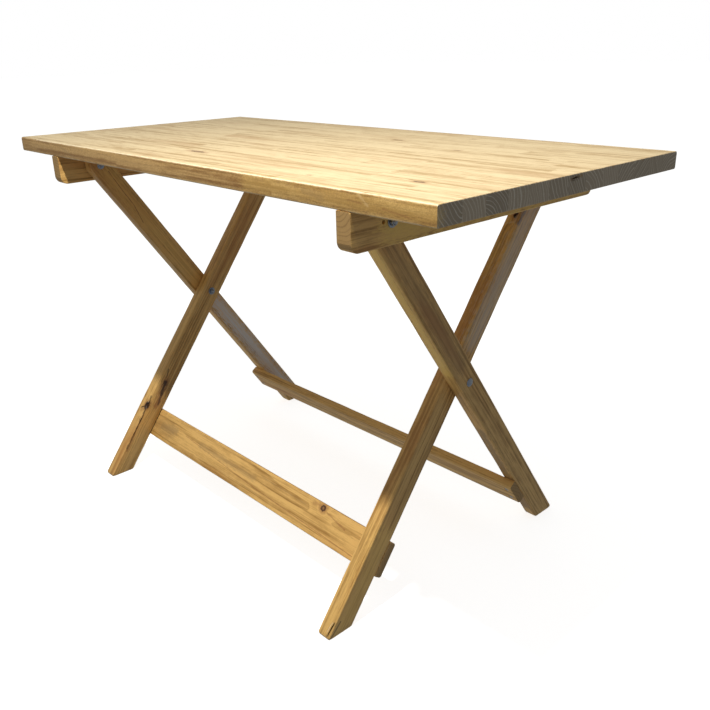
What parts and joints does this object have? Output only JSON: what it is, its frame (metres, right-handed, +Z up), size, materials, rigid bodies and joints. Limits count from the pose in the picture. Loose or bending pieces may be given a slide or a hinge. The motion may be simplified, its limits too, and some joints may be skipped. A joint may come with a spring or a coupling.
{
  "type": "folding table",
  "caption": "Solid wood folding table with an edge-glued rectangular top on two battens and two crossed leg frames bolted at the crossing.",
  "frame": {"origin": "On the floor under the middle of the whole object's box, with the table open.", "axes": "+Z up, X along the long side of the top, -Y towards the front edge, where the outer legs are bolted."},
  "size_m": [1.2, 0.6004, 0.75],
  "materials": {
    "top_wood": "oiled",
    "frame_wood": "oiled",
    "zinc_steel": "zinc plated"
  },
  "bodies": {
    "top": {"top_stave_01": "top_wood", "top_stave_02": "top_wood", "top_stave_03": "top_wood", "top_stave_04": "top_wood", "top_stave_05": "top_wood", "top_stave_06": "top_wood", "top_stave_07": "top_wood", "top_stave_08": "top_wood", "top_stave_09": "top_wood", "top_stave_10": "top_wood", "top_stave_11": "top_wood", "top_stave_12": "top_wood", "top_stave_13": "top_wood", "left_batten": "frame_wood", "right_batten": "frame_wood", "left_batten_screw_1": "zinc_steel", "left_batten_screw_2": "zinc_steel", "left_batten_screw_3": "zinc_steel", "right_batten_screw_1": "zinc_steel", "right_batten_screw_2": "zinc_steel", "right_batten_screw_3": "zinc_steel", "left_pivot_bolt": "zinc_steel", "left_pivot_spacer": "zinc_steel", "left_pivot_washer": "zinc_steel", "left_pivot_nut": "zinc_steel", "right_pivot_bolt": "zinc_steel", "right_pivot_spacer": "zinc_steel", "right_pivot_washer": "zinc_steel", "right_pivot_nut": "zinc_steel"},
    "outer_frame": {"left_outer_leg": "frame_wood", "right_outer_leg": "frame_wood", "outer_stretcher": "frame_wood", "outer_stretcher_left_screw_1": "zinc_steel", "outer_stretcher_left_screw_2": "zinc_steel", "outer_stretcher_right_screw_1": "zinc_steel", "outer_stretcher_right_screw_2": "zinc_steel", "left_crossing_bolt": "zinc_steel", "left_crossing_spacer": "zinc_steel", "left_crossing_washer": "zinc_steel", "left_crossing_nut": "zinc_steel", "right_crossing_bolt": "zinc_steel", "right_crossing_spacer": "zinc_steel", "right_crossing_washer": "zinc_steel", "right_crossing_nut": "zinc_steel"},
    "inner_frame": {"left_inner_leg": "frame_wood", "right_inner_leg": "frame_wood", "inner_stretcher": "frame_wood", "inner_top_rail": "frame_wood", "inner_stretcher_left_screw_1": "zinc_steel", "inner_stretcher_left_screw_2": "zinc_steel", "inner_stretcher_right_screw_1": "zinc_steel", "inner_stretcher_right_screw_2": "zinc_steel", "inner_top_rail_left_screw_1": "zinc_steel", "inner_top_rail_left_screw_2": "zinc_steel", "inner_top_rail_right_screw_1": "zinc_steel", "inner_top_rail_right_screw_2": "zinc_steel"}
  },
  "joints": [
    {"name": "fold", "type": "hinge", "parent": "top", "child": "outer_frame", "pos_m": [0, -0.20876, 0.698], "axis": [1, 0, 0], "range_deg": [0, 52.54]},
    {"name": "scissor", "type": "hinge", "parent": "outer_frame", "child": "inner_frame", "pos_m": [0, 0.01182, 0.38063], "axis": [1, 0, 0], "range_deg": [-102.95, 0]}
  ],
  "couplings": [
    {"joint": "scissor", "follows": "fold", "ratio": -1.9585}
  ]
}
